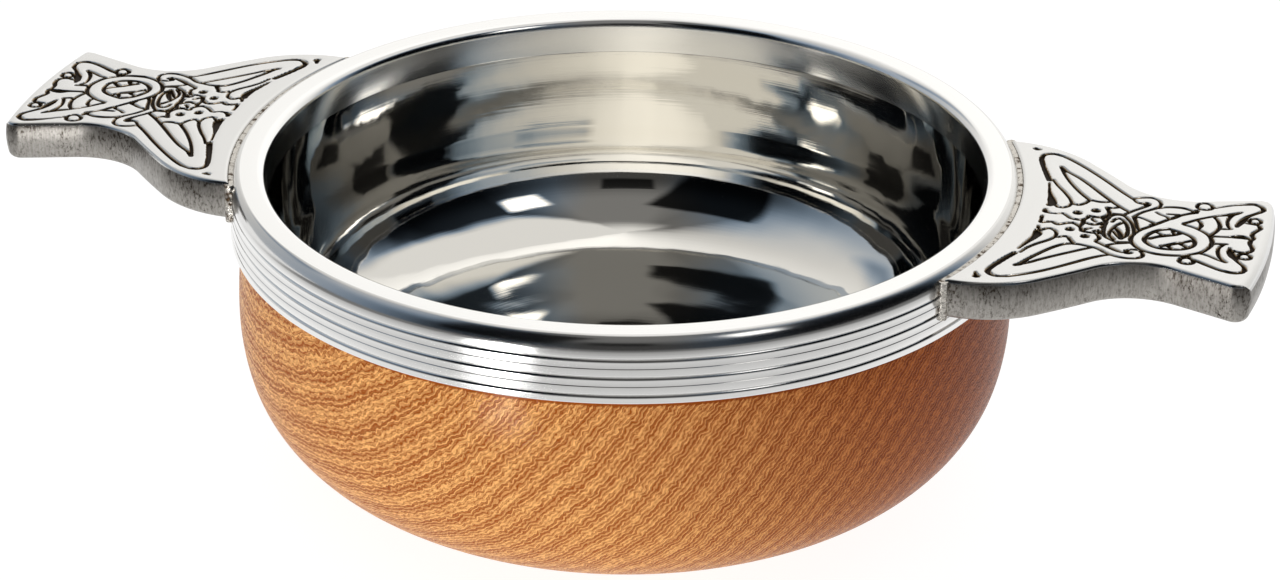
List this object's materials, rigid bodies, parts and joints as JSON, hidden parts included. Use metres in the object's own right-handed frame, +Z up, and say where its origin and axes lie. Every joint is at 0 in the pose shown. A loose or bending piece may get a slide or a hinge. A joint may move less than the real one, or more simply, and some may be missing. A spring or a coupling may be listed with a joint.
{
  "type": "quaich",
  "caption": "Shallow lug-handled drinking bowl with a turned wooden body, a spun metal liner, a reeded metal rim collar and flat cast handles with interlace relief.",
  "frame": {"origin": "centre of the flat base, on the table", "axes": "+Z up along the bowl's axis, +X along the two lugs"},
  "size_m": [0.1622, 0.1, 0.043],
  "materials": {
    "oiled_wood": "satin lacquer over open grain",
    "polished_pewter": "mirror polished",
    "cast_pewter": "polished on the raised work, satin sides, dark patina in the recesses",
    "solder": "dull, oxidised",
    "adhesive": "matt"
  },
  "bodies": {
    "root": {"wood_bowl": "oiled_wood", "adhesive_bed": "adhesive", "pewter_liner": "polished_pewter", "rim_collar": "polished_pewter", "left_lug": "cast_pewter", "right_lug": "cast_pewter", "left_solder": "solder", "right_solder": "solder"}
  },
  "joints": []
}
